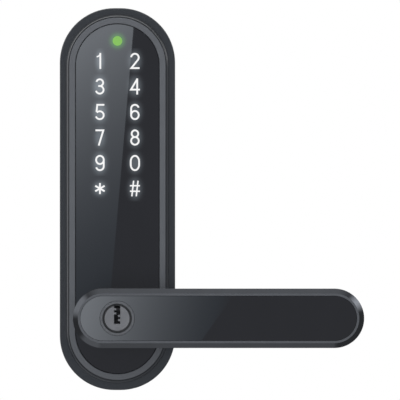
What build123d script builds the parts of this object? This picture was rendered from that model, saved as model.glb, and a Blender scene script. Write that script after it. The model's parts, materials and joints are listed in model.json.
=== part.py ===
from build123d import *
import os
from math import asin, cos, degrees, radians, sin, sqrt

# Outdoor unit of a keypad smart lock, in millimetres.
# X points right along the lever, Z points up, and the front of the lock faces -Y.
# The origin is on the lever's axis, in the door face that the gasket lies against.
# A depth is a distance in front of the door face, so a piece at depth d stands at y = -d.

# Clearances
running_fit = 0.05
press_fit = 0.02
loose_fit = 0.3
thrust_play = 0.1

# Escutcheon outline, from its edge inward
plate_width = 63.3
shoulder_flat = 1.75
band_width = 3.6
foot_band_extra = 0.3
lip_width = 1.15
frame_clearance = 0.4
frame_width = 3.4
glass_gap = 0.2
wall_thickness = 5.5
band_edge_radius = 0.4
lip_edge_radius = 1.1
frame_edge_radius = 0.4

# Door side
gasket_thickness = 1.5
gasket_inset = 0.8
gasket_width = 5.0
back_plate_thickness = 2.0
back_plate_inset = 3.4
cable_hole_radius = 6.0
cable_height = 84.0
grommet_wall = 1.6
grommet_lip = 1.4
grommet_lip_thickness = 1.2

# Posts that the indoor unit's bolts screw into
post_radius = 5.0
post_shank_radius = 4.0
post_reach = 14.0
post_flange_radius = 5.5
post_flange_thickness = 1.5
post_thread_radius = 2.1
post_thread_depth = 12.0
lug_to_post = 1.85
post_to_plate_bottom = 12.1
post_to_plate_top = 30.5

# Key cylinder
plug_radius = 6.8
recess_width = 1.25
recess_depth = 3.0
shell_rim = 1.35
plug_flange_width = 0.9
plug_flange_thickness = 0.8
keyway_half_width = 1.7
keyway_bottom = 3.0
keyway_depth = 19.0
ward_width = 1.2
ward_thickness = 1.1
left_ward_heights = (5.0, 2.7)
right_ward_heights = (1.35, -0.95)
wafer_count = 6
wafer_pitch = 2.4
wafer_thickness = 0.9
wafer_width = 6.4
wafer_height = 11.6
wafer_window_top = 4.4
wafer_window_bottom = 3.2
first_wafer_depth = 6.0
clip_thickness = 0.8
clip_groove_depth = 1.1
clip_outer_radius = 8.2
clip_opening = 7.0
plug_tail = 1.8
tail_width = 7.0
tail_thickness = 2.0
tail_engagement = 2.0

# Lever
lever_height = 32.5
lever_tip = 135.1
lever_heel = 24.2
lever_thickness = 14.0
lever_chamfer = 2.7
lever_back_radius = 3.0
lever_rim = 1.2
lever_gap = 22.0
inlay_thickness = 1.6
inlay_gap = 0.1
inlay_sink = 0.15
core_depth = 8.0
core_rim = 3.0
core_start = 26.0
core_rib = 3.0
core_cells = 3
neck_wall = 2.7
neck_web = 2.0
spigot_wall = 1.5
spigot_length = 5.0
set_screw_radius = 2.0
hub_socket_depth = 8.2
rose_gap = 0.4
rose_width = 3.0
rose_thickness = 1.5
rose_chamfer = 0.6

# Hub, rotor and bush
journal_radius = 9.0
tail_hole_radius = 5.2
bush_wall = 1.95
bush_flange_width = 1.5
bush_flange_thickness = 1.5
bush_proud = 0.5
boss_wall = 2.0
boss_length = 3.6
hub_play = 0.5
drum_radius = 12.5
drum_length = 9.0
rotor_radius = 8.5
rotor_chamber_depth = 7.0
rotor_play = 0.2
lug_width = 6.0
lug_thickness = 5.0
lever_travel = 45.0
stop_radius = 2.2
stop_slack = 0.1
spindle_size = 8.0
spindle_socket_depth = 4.0
spindle_reach = 45.0
spindle_chamfer = 1.0
spindle_clearance = 0.9
spindle_pin_radius = 1.0
spindle_pin_depth = 1.9

# Return spring
wire_diameter = 1.4
spring_turns = 3
spring_turn_gap = 0.5
spring_gap = 0.45
spring_leg = 9.0
spring_start_angle = -60.0
spring_lift = 0.9
spring_peg_radius = 1.3

# Clutch
pin_radius = 1.75
pin_proud = 0.6
pin_travel = 1.9
pin_head_radius = 2.3
pin_dome_radius = 4.0
pin_head_thickness = 0.9
pin_spring_wire = 0.35
pin_spring_turns = 2
pin_spring_turn_gap = 0.4
fork_travel = 3.2
fork_thickness = 3.5
fork_shoe = 2.85
fork_half_angle = 65.0
fork_stem_width = 8.0
fork_stem_length = 8.0
nut_width = 10.0
nut_height = 6.0
nut_cover = 3.0
clutch_screw_radius = 1.5
gearbox_gap = 2.8
gearbox_length = 9.0
motor_length = 15.0
motor_width = 12.0
motor_depth = 10.0
motor_terminal = 1.4
motor_top_gap = 2.0
cradle_thickness = 1.2
cradle_wall = 1.5
cradle_ear = 8.0
cradle_standoff = 0.8
cradle_screw_radius = 1.25
cradle_screw_head_radius = 2.2
cradle_screw_head = 1.6
cradle_screw_grip = 1.9

# Keypad, from the divider above the clutch up to the top of the plate
divider_wall = 2.2
keypad_margin = 6.8
keypad_rows = 6
row_pitch = 14.0
column_pitch = 19.2
status_gap = 11.0
status_to_plate_top = 18.0
status_radius = 2.6
digit_height = 8.8
digit_width = 5.1
digit_stroke = 0.95
legend_depth = 0.3
web_thickness = 2.2
upper_web_thickness = 2.5
seal_thickness = 0.5
seal_width = 2.2
glass_thickness = 2.0
glass_edge_chamfer = 0.15
pocket_rim = 2.6
board_clearance = 0.4
board_thickness = 1.6
board_room = 2.0
guide_thickness = 2.2
guide_clearance = 0.1
led_length = 2.0
led_width = 1.2
led_height = 0.7
led_clearance = 0.3
chip_size = 7.0
chip_height = 0.9
buzzer_radius = 4.5
buzzer_height = 3.6
socket_length = 14.0
socket_width = 5.4
socket_height = 7.0
socket_wall = 1.2
socket_floor = 1.5
socket_pins = 6
socket_pin_pitch = 2.0
socket_pin_size = 0.6
board_screw_radius = 1.0
board_screw_head_radius = 1.9
board_screw_head = 1.2
board_screw_length = 3.6
board_boss_radius = 2.4

# Back plate screws
plate_screw_radius = 1.5
plate_screw_head_radius = 2.9
plate_screw_length = 9.0
plate_boss_radius = 3.2
plate_boss_angle = 40.0
screw_recess = 0.8

# Depth stack in front of the door face
back_plate_front = gasket_thickness + back_plate_thickness
hub_back = back_plate_front + hub_play
drum_front = hub_back + drum_length
bush_flange_back = drum_front + thrust_play
boss_back = bush_flange_back + bush_flange_thickness
lower_web_back = boss_back + boss_length
glass_seat = lower_web_back + web_thickness
glass_back = glass_seat + seal_thickness
glass_front = glass_back + glass_thickness
frame_front = glass_front + frame_edge_radius
lip_front = glass_front - thrust_play
band_front = glass_seat
guide_front = glass_back - guide_clearance
board_front = guide_front - guide_thickness
board_back = board_front - board_thickness
upper_web_front = board_back - board_room
upper_web_back = upper_web_front - upper_web_thickness
bush_front = glass_front + bush_proud
neck_back = bush_front + rose_gap
hub_front = neck_back + hub_socket_depth
neck_web_front = hub_front + neck_web
rotor_back = back_plate_front + rotor_play
rotor_front = hub_back + rotor_chamber_depth - rotor_play
lever_back = glass_front + lever_gap
lever_front = lever_back + lever_thickness
inlay_front = lever_front - inlay_sink
inlay_back = inlay_front - inlay_thickness
plug_back = neck_web_front + loose_fit
clip_back = plug_back + plug_tail
clip_front = clip_back + clip_thickness
shell_back = clip_front + thrust_play
tail_back = rotor_front - tail_engagement
pin_depth = hub_back + rotor_chamber_depth / 2 - rotor_play
cradle_front = lower_web_back - cradle_standoff
cradle_back = cradle_front - cradle_thickness
motor_axis_depth = cradle_back - motor_depth / 2
fork_back = pin_depth - fork_thickness / 2
fork_front = pin_depth + fork_thickness / 2
lug_front = hub_back + lug_thickness
spring_pitch = wire_diameter + spring_turn_gap
spring_back = lug_front + spring_lift + wire_diameter / 2
spring_front = spring_back + spring_turns * spring_pitch
recess_floor = lever_front - recess_depth

# Radii about the lever's axis
shell_radius = plug_radius + recess_width + shell_rim
neck_radius = shell_radius + running_fit + neck_wall
spigot_radius = shell_radius + running_fit + spigot_wall
bush_radius = journal_radius + running_fit + bush_wall
boss_radius = bush_radius + boss_wall
rose_inner_radius = neck_radius + rose_gap
rose_outer_radius = rose_inner_radius + rose_width
chamber_radius = rotor_radius + running_fit
pin_inner_end = chamber_radius + running_fit - pin_travel
spring_radius = boss_radius + spring_gap + wire_diameter / 2
stop_orbit = spring_radius + wire_diameter / 2 + spring_lift + stop_radius
lug_radius = stop_orbit + stop_radius
pin_outer_end = drum_radius + pin_proud
pin_spring_pitch = pin_spring_wire + pin_spring_turn_gap
pin_spring_length = pin_spring_turns * pin_spring_pitch + pin_spring_wire
pin_spring_radius = pin_radius + running_fit + press_fit + pin_spring_wire / 2
pin_head_bottom = pin_outer_end - pin_head_thickness
pin_spring_seat = pin_head_bottom - pin_spring_length - 2 * running_fit
fork_inner_radius = pin_outer_end + running_fit
fork_outer_radius = fork_inner_radius + fork_shoe

# Heights above the lever's axis
nut_bottom = fork_outer_radius + fork_stem_length
nut_top = nut_bottom + nut_height
gearbox_bottom = nut_top + fork_travel + gearbox_gap
motor_bottom = gearbox_bottom + gearbox_length
motor_top = motor_bottom + motor_length
divider_bottom = motor_top + motor_top_gap
pocket_bottom = divider_bottom + divider_wall
lowest_row = pocket_bottom + keypad_margin
highest_row = lowest_row + (keypad_rows - 1) * row_pitch
status_height = highest_row + status_gap
plate_top = status_height + status_to_plate_top
upper_post_height = plate_top - post_to_plate_top
lower_post_height = -(lug_radius + lug_to_post + post_flange_radius)
plate_bottom = lower_post_height - post_to_plate_bottom
plate_height = plate_top - plate_bottom
plate_middle = (plate_top + plate_bottom) / 2
pill_bottom = plate_bottom + foot_band_extra
pill_height = plate_top - pill_bottom
pill_middle = (plate_top + pill_bottom) / 2

# Insets of the outlines that nest inside the escutcheon
frame_inset = band_width + lip_width + frame_clearance
frame_inner_inset = frame_inset + frame_width
glass_inset = frame_inner_inset + glass_gap
pocket_inset = glass_inset + pocket_rim
cavity_radius = plate_width / 2 - wall_thickness
pocket_half_width = plate_width / 2 - pocket_inset


def orbit(radius, angle):
    """Point on a circle about the lever's axis, seen from the front."""
    return (radius * cos(radians(angle)), radius * sin(radians(angle)))


# Places of the repeated pieces
upper_round = plate_top - plate_width / 2
lower_round = pill_bottom + plate_width / 2
plate_boss_orbit = cavity_radius - plate_boss_radius - loose_fit
boss_dx = plate_boss_orbit * cos(radians(plate_boss_angle))
boss_dz = plate_boss_orbit * sin(radians(plate_boss_angle))
plate_screw_places = [
    (side * dx, z)
    for side in (-1, 1)
    for dx, z in (
        (boss_dx, upper_round + boss_dz),
        (plate_boss_orbit, pocket_bottom + plate_boss_radius),
        (boss_dx, lower_round - boss_dz),
    )
]
post_places = [(0, upper_post_height), (0, lower_post_height)]
board_screw_dx = pocket_half_width - board_boss_radius - board_clearance
board_screw_places = [
    (side * board_screw_dx, z) for side in (-1, 1) for z in (lowest_row, highest_row - row_pitch / 2)
]
cradle_screw_dx = motor_width / 2 + cradle_wall + cradle_ear / 2
cradle_bottom = fork_outer_radius + loose_fit + fork_travel
cradle_screw_places = [
    (side * cradle_screw_dx, z)
    for side in (-1, 1)
    for z in (nut_bottom + cradle_screw_head_radius, motor_top - cradle_screw_head_radius)
]
row_heights = [highest_row - row * row_pitch for row in range(keypad_rows)]
digit_places = [(side * column_pitch / 2, z) for z in row_heights for side in (-1, 1)]
buzzer_height_place = (row_heights[2] + row_heights[3]) / 2
chip_places = [(0, row_heights[1]), (column_pitch / 2, row_heights[3]), (-column_pitch / 2, row_heights[3])]
led_places = digit_places + [(0, status_height)]

# Stops and spring pegs, seen from the front
stop_angle = degrees(asin((lug_width / 2 + stop_radius + stop_slack) / stop_orbit))
stop_places = [orbit(stop_orbit, -90 + stop_angle), orbit(stop_orbit, -90 - lever_travel - stop_angle)]
coil_end = Vector(*orbit(spring_radius, spring_start_angle))
coil_out = Vector(*orbit(1, spring_start_angle))
coil_along = Vector(*orbit(1, spring_start_angle + 90))
peg_offset = coil_out * (wire_diameter / 2 + spring_peg_radius + running_fit)
peg_reach = coil_along * (spring_leg - spring_peg_radius)
moving_peg_place = coil_end - peg_reach + peg_offset
fixed_peg_place = coil_end + peg_reach + peg_offset


def front(depth, x=0.0, z=0.0):
    """Plane facing the viewer at a depth, with sketch axes right and up."""
    return Plane(origin=(x, -depth, z), x_dir=(1, 0, 0), z_dir=(0, -1, 0))


def upright(height, x=0.0, depth=0.0):
    """Plane facing up at a height, with sketch axes right and towards the door."""
    return Plane(origin=(x, -depth, height), x_dir=(1, 0, 0), z_dir=(0, 0, 1))


def plate_edge(inset, mode=Mode.ADD):
    """The escutcheon's outer edge, fuller at its shoulders than a pill, drawn in by an inset all round."""
    with Locations((0, plate_middle)):
        RectangleRounded(
            plate_width - 2 * inset,
            plate_height - 2 * inset,
            plate_width / 2 - shoulder_flat - inset,
            mode=mode,
        )


def pill(inset, mode=Mode.ADD):
    """The round-ended outline that the escutcheon's inner forms follow, drawn in by an inset all round."""
    with Locations((0, pill_middle)):
        SlotCenterToCenter(pill_height - plate_width, plate_width - 2 * inset, rotation=90, mode=mode)


def upper_pill(inset, bottom):
    """The part of that outline above a height, cut straight across."""
    pill(inset)
    with Locations((0, bottom)):
        Rectangle(plate_width, plate_height, align=(Align.CENTER, Align.MIN), mode=Mode.INTERSECT)


def lever_pill(inset, mode=Mode.ADD):
    """The lever's lying outline, drawn in by an inset all round."""
    with Locations(((lever_tip - lever_heel) / 2, 0)):
        SlotCenterToCenter(
            lever_tip + lever_heel - lever_height, lever_height - 2 * inset, mode=mode
        )


def coil_path(plane, radius, pitch, turns, start_angle, leg=0.0):
    """Wire path of a coil on a plane, climbing in half-turn arcs, with a straight leg at each end."""
    def at(half_turns):
        angle = radians(start_angle + 180 * half_turns)
        return plane.from_local_coords((radius * cos(angle), radius * sin(angle), pitch * half_turns / 2))

    start = radians(start_angle)
    along = plane.from_local_coords((-sin(start), cos(start), 0)) - plane.origin
    with BuildLine() as path:
        if leg:
            Line(at(0) - along * leg, at(0))
        for step in range(2 * turns):
            ThreePointArc(at(step), at(step + 0.5), at(step + 1))
        if leg:
            Line(at(2 * turns), at(2 * turns) + along * leg)
    return path


def stroke(*points, width=digit_stroke):
    """A straight pen stroke through points."""
    with BuildLine() as path:
        Polyline(*points)
    trace(path.line, line_width=width)


def arc_stroke(center, radius, start_angle, sweep_angle):
    """A round pen stroke."""
    with BuildLine() as path:
        CenterArc(center, radius, start_angle, sweep_angle)
    trace(path.line, line_width=digit_stroke)


def ring(center_z, half_width, half_height):
    """An oval pen stroke, given by the middle of its line."""
    with Locations((0, center_z)):
        Ellipse(half_width + digit_stroke / 2, half_height + digit_stroke / 2)
        Ellipse(half_width - digit_stroke / 2, half_height - digit_stroke / 2, mode=Mode.SUBTRACT)


# Pen-line extents of a digit about its middle
pen_x = (digit_width - digit_stroke) / 2
pen_z = (digit_height - digit_stroke) / 2
edge_z = digit_height / 2


def digit_one():
    stem = 0.1 * pen_x
    flag = 0.75 * digit_stroke
    stroke((stem, -edge_z), (stem, edge_z))
    stroke((-0.86 * pen_x, 0.58 * pen_z), (-0.3 * pen_x, 0.68 * pen_z), (stem, 0.95 * pen_z), width=flag)


def digit_two():
    arc_stroke((0, pen_z - pen_x), pen_x, 175, -208)
    stroke((0.84 * pen_x, pen_z - 1.54 * pen_x), (-0.95 * pen_x, -pen_z), (pen_x + digit_stroke / 2, -pen_z))


def digit_three():
    upper = 0.47 * pen_z
    lower = 0.53 * pen_z
    arc_stroke((-0.05 * pen_x, pen_z - upper), upper, 165, -245)
    arc_stroke((-0.05 * pen_x, lower - pen_z), lower, 80, -245)
    stroke((-0.45 * pen_x, pen_z - 2 * upper), (0.25 * pen_x, pen_z - 2 * upper))


def digit_four():
    stem = 0.6 * pen_x
    bar = -0.44 * pen_z
    stroke((stem, edge_z - digit_stroke / 3), (-1.04 * pen_x, bar), (1.3 * pen_x, bar))
    stroke((stem, edge_z), (stem, -edge_z))


def digit_five():
    bowl = 0.55 * pen_z
    arc_stroke((-0.05 * pen_x, bowl - pen_z), bowl, 138, -300)
    stroke((1.16 * pen_x, pen_z), (-0.7 * pen_x, pen_z), (-0.9 * pen_x, 0.02 * pen_z))


def digit_six(turn=1):
    bowl = 0.57 * pen_z
    shoulder = pen_z - pen_x
    ring(turn * (bowl - pen_z), pen_x, bowl)
    stroke((-turn * pen_x, turn * (bowl - pen_z)), (-turn * pen_x, turn * shoulder))
    arc_stroke((0, turn * shoulder), pen_x, 105 - 90 * turn, 165)


def digit_seven():
    stroke((-1.18 * pen_x, pen_z), (0.9 * pen_x, pen_z), (-0.32 * pen_x, -edge_z))


def digit_eight():
    upper = 0.47 * pen_z
    lower = 0.53 * pen_z
    with Locations((0, pen_z - upper)):
        Ellipse(0.86 * pen_x + digit_stroke / 2, upper + digit_stroke / 2)
    with Locations((0, lower - pen_z)):
        Ellipse(pen_x + digit_stroke / 2, lower + digit_stroke / 2)
        Ellipse(pen_x - digit_stroke / 2, lower - digit_stroke / 2, mode=Mode.SUBTRACT)
    with Locations((0, pen_z - upper)):
        Ellipse(0.86 * pen_x - digit_stroke / 2, upper - digit_stroke / 2, mode=Mode.SUBTRACT)


def digit_nine():
    digit_six(turn=-1)


def digit_zero():
    side = 0.2 * pen_z
    for half_stroke, mode in ((digit_stroke / 2, Mode.ADD), (-digit_stroke / 2, Mode.SUBTRACT)):
        half_width = 1.11 * pen_x + half_stroke
        with Locations((0, side), (0, -side)):
            Ellipse(half_width, pen_z - side + half_stroke, mode=mode)
        Rectangle(2 * half_width, 2 * side, mode=mode)


def star_sign():
    arm = 0.68 * edge_z
    for angle in (90, 30, 150):
        stroke(orbit(arm, angle), orbit(-arm, angle))


def hash_sign():
    slant = 0.11 * edge_z
    reach = 1.32 * pen_x
    thin = 0.82 * digit_stroke
    for x in (-0.58 * pen_x, 0.58 * pen_x):
        stroke((x - slant, -0.97 * edge_z), (x + slant, 0.97 * edge_z), width=thin)
    for z in (0.35 * edge_z, -0.34 * edge_z):
        stroke((-reach, z), (reach, z), width=thin)


keypad_signs = [
    digit_one, digit_two, digit_three, digit_four, digit_five, digit_six,
    digit_seven, digit_eight, digit_nine, digit_zero, star_sign, hash_sign,
]

# Door gasket: a soft band that seals the escutcheon's edge against the door
with BuildPart() as door_gasket:
    with BuildSketch(front(0)):
        plate_edge(gasket_inset)
        plate_edge(gasket_inset + gasket_width, mode=Mode.SUBTRACT)
    extrude(amount=gasket_thickness)

# Back plate: closes the housing and carries the posts
with BuildPart() as back_plate:
    with BuildSketch(front(gasket_thickness)):
        pill(back_plate_inset + loose_fit)
        Circle(spindle_size / sqrt(2) + spindle_clearance, mode=Mode.SUBTRACT)
        with Locations(*post_places):
            Circle(post_shank_radius + press_fit, mode=Mode.SUBTRACT)
        with Locations((0, cable_height)):
            Circle(cable_hole_radius, mode=Mode.SUBTRACT)
        with Locations(*plate_screw_places):
            Circle(plate_screw_radius + running_fit, mode=Mode.SUBTRACT)
    extrude(amount=back_plate_thickness)
    with BuildSketch(front(gasket_thickness)):
        with Locations(*plate_screw_places):
            Circle(plate_screw_head_radius + running_fit)
    extrude(amount=plate_screw_head_radius - plate_screw_radius, taper=45, mode=Mode.SUBTRACT)

# Housing: the die-cast escutcheon with its band, lip, webs and bosses
with BuildPart() as housing:
    with BuildSketch(front(gasket_thickness)):
        plate_edge(0)
    extrude(amount=band_front - gasket_thickness)
    fillet(housing.faces().sort_by(Axis.Y)[0].edges(), band_edge_radius)
    with BuildSketch(front(band_front)):
        pill(band_width)
    extrude(amount=lip_front - band_front)
    fillet(housing.faces().sort_by(Axis.Y)[0].edges(), lip_edge_radius)
    with BuildSketch(front(glass_seat)):
        pill(band_width + lip_width)
    extrude(amount=lip_front - glass_seat, mode=Mode.SUBTRACT)
    with BuildSketch(front(gasket_thickness)):
        pill(back_plate_inset)
    extrude(amount=back_plate_thickness, mode=Mode.SUBTRACT)
    with BuildSketch(front(back_plate_front)):
        pill(wall_thickness)
    extrude(amount=upper_web_back - back_plate_front, mode=Mode.SUBTRACT)
    with BuildSketch(front(upper_web_back)):
        pill(wall_thickness)
        with Locations((0, divider_bottom)):
            Rectangle(plate_width, plate_height, align=(Align.CENTER, Align.MAX), mode=Mode.INTERSECT)
    extrude(amount=lower_web_back - upper_web_back, mode=Mode.SUBTRACT)
    with BuildSketch(front(upper_web_front)):
        upper_pill(pocket_inset, pocket_bottom)
    extrude(amount=glass_seat - upper_web_front, mode=Mode.SUBTRACT)
    # Bosses for the back plate, the stops and the spring's fixed peg, down from the webs
    with BuildSketch(front(back_plate_front)):
        with Locations(*plate_screw_places):
            Circle(plate_boss_radius)
    extrude(amount=upper_web_front - back_plate_front)
    with BuildSketch(front(upper_web_back)):
        with Locations(*[place for place in plate_screw_places if place[1] < 0]):
            Circle(plate_boss_radius)
    extrude(amount=lower_web_back + web_thickness / 2 - upper_web_back)
    with BuildSketch(front(hub_back + loose_fit)):
        with Locations(*stop_places):
            Circle(stop_radius)
    extrude(amount=lower_web_back - hub_back - loose_fit)
    with BuildSketch(front(spring_front - wire_diameter)):
        with Locations(fixed_peg_place):
            Circle(spring_peg_radius)
    extrude(amount=lower_web_back - spring_front + wire_diameter)
    with BuildSketch(front(boss_back)):
        Circle(boss_radius)
    extrude(amount=glass_front - boss_back)
    with BuildSketch(front(boss_back)):
        Circle(bush_radius + press_fit)
    extrude(amount=glass_front - boss_back, mode=Mode.SUBTRACT)
    with BuildSketch(front(upper_web_front)):
        with Locations(*board_screw_places):
            Circle(board_boss_radius)
    extrude(amount=board_room)
    with BuildSketch(front(cradle_front)):
        with Locations(*cradle_screw_places):
            Circle(cradle_screw_head_radius)
    extrude(amount=cradle_standoff)
    # Screw holes
    with BuildSketch(front(back_plate_front)):
        with Locations(*plate_screw_places):
            Circle(plate_screw_radius + running_fit)
    extrude(amount=plate_screw_length - back_plate_thickness + loose_fit, mode=Mode.SUBTRACT)
    with BuildSketch(front(board_back)):
        with Locations(*board_screw_places):
            Circle(board_screw_radius + running_fit)
    extrude(amount=-(board_screw_length - board_thickness + loose_fit), mode=Mode.SUBTRACT)
    with BuildSketch(front(cradle_front)):
        with Locations(*cradle_screw_places):
            Circle(cradle_screw_radius + running_fit)
    extrude(amount=cradle_screw_grip + running_fit, mode=Mode.SUBTRACT)
    # Windows in the upper web for the buzzer and the harness socket
    with BuildSketch(front(upper_web_back)):
        with Locations((0, buzzer_height_place)):
            Circle(buzzer_radius + loose_fit)
        with Locations((0, cable_height)):
            Rectangle(socket_length + 2 * loose_fit, socket_width + 2 * loose_fit)
    extrude(amount=upper_web_thickness, mode=Mode.SUBTRACT)

# Trim frame: the satin ring round the glass
with BuildPart() as trim_frame:
    with BuildSketch(front(glass_seat)):
        pill(frame_inset)
        pill(frame_inner_inset, mode=Mode.SUBTRACT)
    extrude(amount=frame_front - glass_seat)
    fillet(trim_frame.faces().sort_by(Axis.Y)[0].edges(), frame_edge_radius)

# Glass seal: a flat ring between the housing's ledge and the glass
with BuildPart() as glass_seal:
    with BuildSketch(front(glass_seat)):
        pill(glass_inset + running_fit)
        pill(glass_inset + seal_width, mode=Mode.SUBTRACT)
    extrude(amount=seal_thickness)

# Keypad legends: printed windows in the glass that the light guide shines through
with BuildPart() as keypad_legends:
    for sign, (x, z) in zip(keypad_signs, digit_places):
        with BuildSketch(front(glass_front - legend_depth, x, z)):
            sign()
    extrude(amount=legend_depth)

# Touch glass: the black front, with a hole for the lever's boss and one for the status lens
with BuildPart() as touch_glass:
    with BuildSketch(front(glass_back)):
        pill(glass_inset)
        Circle(boss_radius + frame_clearance, mode=Mode.SUBTRACT)
        with Locations((0, status_height)):
            Circle(status_radius + press_fit, mode=Mode.SUBTRACT)
    extrude(amount=glass_thickness)
    chamfer(touch_glass.faces().sort_by(Axis.Y)[0].outer_wire().edges(), glass_edge_chamfer)
    add(keypad_legends.part, mode=Mode.SUBTRACT)

# Status lens: the round green window above the keypad
with BuildPart() as status_lens:
    with BuildSketch(front(guide_front)):
        with Locations((0, status_height)):
            Circle(status_radius)
    extrude(amount=glass_front - guide_front)

# Light guide: a clear sheet over the board, pocketed for the lights and the screw heads
with BuildPart() as light_guide:
    with BuildSketch(front(board_front)):
        upper_pill(pocket_inset + board_clearance, pocket_bottom + board_clearance)
        with Locations(*board_screw_places):
            Circle(board_screw_head_radius + loose_fit, mode=Mode.SUBTRACT)
    extrude(amount=guide_thickness)
    with BuildSketch(front(board_front)):
        with Locations(*led_places):
            Rectangle(led_length + 2 * led_clearance, led_width + 2 * led_clearance)
    extrude(amount=led_height + led_clearance, mode=Mode.SUBTRACT)

# Keypad board: the circuit board that senses touch
with BuildPart() as keypad_board:
    with BuildSketch(front(board_back)):
        upper_pill(pocket_inset + board_clearance, pocket_bottom + board_clearance)
        with Locations(*board_screw_places):
            Circle(board_screw_radius + running_fit, mode=Mode.SUBTRACT)
    extrude(amount=board_thickness)

# Keypad lights: one under each legend and one under the status lens
with BuildPart() as keypad_lights:
    with BuildSketch(front(board_front)):
        with Locations(*led_places):
            Rectangle(led_length, led_width)
    extrude(amount=led_height)

# Controller chips, buzzer and harness socket on the back of the board
with BuildPart() as controller_chips:
    with BuildSketch(front(board_back)):
        with Locations(*chip_places):
            Rectangle(chip_size, chip_size)
    extrude(amount=-chip_height)

with BuildPart() as buzzer:
    with BuildSketch(front(board_back)):
        with Locations((0, buzzer_height_place)):
            Circle(buzzer_radius)
    extrude(amount=-buzzer_height)
    with BuildSketch(front(board_back - buzzer_height)):
        with Locations((0, buzzer_height_place)):
            Circle(buzzer_radius / 4)
    extrude(amount=buzzer_height / 2, mode=Mode.SUBTRACT)

with BuildPart() as harness_socket:
    with BuildSketch(front(board_back)):
        with Locations((0, cable_height)):
            Rectangle(socket_length, socket_width)
    extrude(amount=-socket_height)
    with BuildSketch(front(board_back - socket_height)):
        with Locations((0, cable_height)):
            Rectangle(socket_length - 2 * socket_wall, socket_width - 2 * socket_wall)
    extrude(amount=socket_height - socket_floor, mode=Mode.SUBTRACT)

with BuildPart() as harness_pins:
    with BuildSketch(front(board_back - socket_floor)):
        with Locations((0, cable_height)):
            with GridLocations(socket_pin_pitch, 1, socket_pins, 1):
                Rectangle(socket_pin_size, socket_pin_size)
    extrude(amount=-(socket_height - 2 * socket_floor))

with BuildPart() as board_screws:
    with BuildSketch(front(board_front)):
        with Locations(*board_screw_places):
            Circle(board_screw_head_radius)
    extrude(amount=board_screw_head)
    with BuildSketch(front(board_front + board_screw_head)):
        with Locations(*board_screw_places):
            RegularPolygon(board_screw_radius, 6)
    extrude(amount=-board_screw_head / 2, mode=Mode.SUBTRACT)
    with BuildSketch(front(board_front)):
        with Locations(*board_screw_places):
            Circle(board_screw_radius)
    extrude(amount=-board_screw_length)

# Back plate screws: countersunk, flush with the plate's door side
with BuildPart() as back_plate_screws:
    with BuildSketch(front(gasket_thickness)):
        with Locations(*plate_screw_places):
            Circle(plate_screw_radius)
    extrude(amount=plate_screw_length)
    with BuildSketch(front(gasket_thickness)):
        with Locations(*plate_screw_places):
            Circle(plate_screw_head_radius)
    extrude(amount=plate_screw_head_radius - plate_screw_radius, taper=45)
    with BuildSketch(front(gasket_thickness)):
        with Locations(*plate_screw_places):
            RegularPolygon(plate_screw_radius * screw_recess, 6)
    extrude(amount=plate_screw_radius, mode=Mode.SUBTRACT)

# Mounting posts: riveted into the back plate, tapped from the door's inner side
with BuildPart() as mounting_posts:
    with BuildSketch(front(-post_reach)):
        with Locations(*post_places):
            Circle(post_radius)
    extrude(amount=post_reach + gasket_thickness)
    with BuildSketch(front(gasket_thickness)):
        with Locations(*post_places):
            Circle(post_shank_radius)
    extrude(amount=back_plate_thickness)
    with BuildSketch(front(back_plate_front)):
        with Locations(*post_places):
            Circle(post_flange_radius)
    extrude(amount=post_flange_thickness)
    with BuildSketch(front(-post_reach)):
        with Locations(*post_places):
            Circle(post_thread_radius)
    extrude(amount=post_thread_depth, mode=Mode.SUBTRACT)

# Cable grommet: snapped into the back plate, one lip on each side
with BuildPart() as cable_grommet:
    with BuildSketch(front(gasket_thickness)):
        with Locations((0, cable_height)):
            Circle(cable_hole_radius)
    extrude(amount=back_plate_thickness)
    with BuildSketch(front(back_plate_front), front(gasket_thickness - grommet_lip_thickness)):
        with Locations((0, cable_height)):
            Circle(cable_hole_radius + grommet_lip)
    extrude(amount=grommet_lip_thickness)
    with BuildSketch(front(0)):
        with Locations((0, cable_height)):
            Circle(cable_hole_radius - grommet_wall)
    extrude(amount=back_plate_front + grommet_lip_thickness, mode=Mode.SUBTRACT)

# Lever bush: the flanged bearing in the housing's boss
with BuildPart() as lever_bush:
    with BuildSketch(front(bush_flange_back)):
        Circle(bush_radius + bush_flange_width)
    extrude(amount=bush_flange_thickness)
    with BuildSketch(front(boss_back)):
        Circle(bush_radius)
    extrude(amount=bush_front - boss_back)
    with BuildSketch(front(bush_flange_back)):
        Circle(journal_radius + running_fit)
    extrude(amount=bush_front - bush_flange_back, mode=Mode.SUBTRACT)

# Lever rose: the small ring that covers the edge of the glass round the neck
with BuildPart() as lever_rose:
    with BuildSketch(front(glass_front)):
        Circle(rose_outer_radius)
        Circle(rose_inner_radius, mode=Mode.SUBTRACT)
    extrude(amount=rose_thickness)
    chamfer(lever_rose.faces().sort_by(Axis.Y)[0].outer_wire().edges(), rose_chamfer)

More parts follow.
